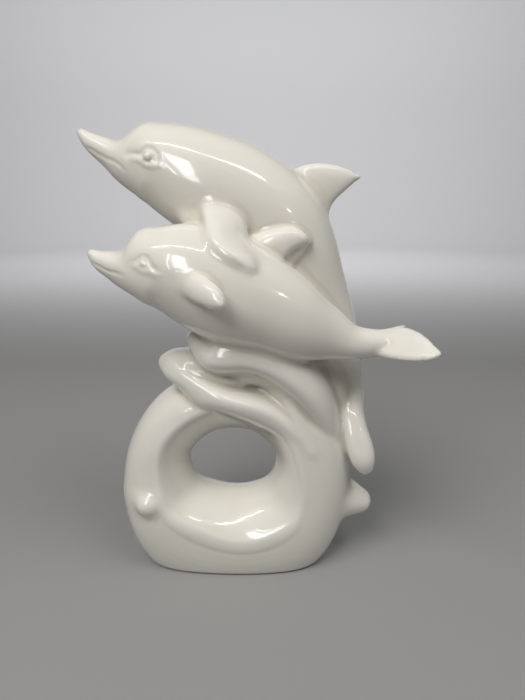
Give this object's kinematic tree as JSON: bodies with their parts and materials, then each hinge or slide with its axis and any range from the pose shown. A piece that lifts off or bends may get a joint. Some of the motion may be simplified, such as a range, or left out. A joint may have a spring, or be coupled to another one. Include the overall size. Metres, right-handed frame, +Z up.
{
  "type": "porcelain figurine of two dolphins",
  "caption": "White glazed porcelain figurine: a large and a small dolphin leap side by side over a curling wave with a round hole through it, standing on a flat foot.",
  "frame": {"origin": "middle of the foot, on the surface it stands on", "axes": "+Z up; -X the way both dolphins' beaks point; -Y the smaller dolphin's side, which faces the viewer"},
  "size_m": [0.2214, 0.1218, 0.3047],
  "materials": {
    "glazed_porcelain": "clear gloss glaze over warm white porcelain"
  },
  "bodies": {
    "root": {"dolphin_figurine": "glazed_porcelain"}
  },
  "joints": []
}
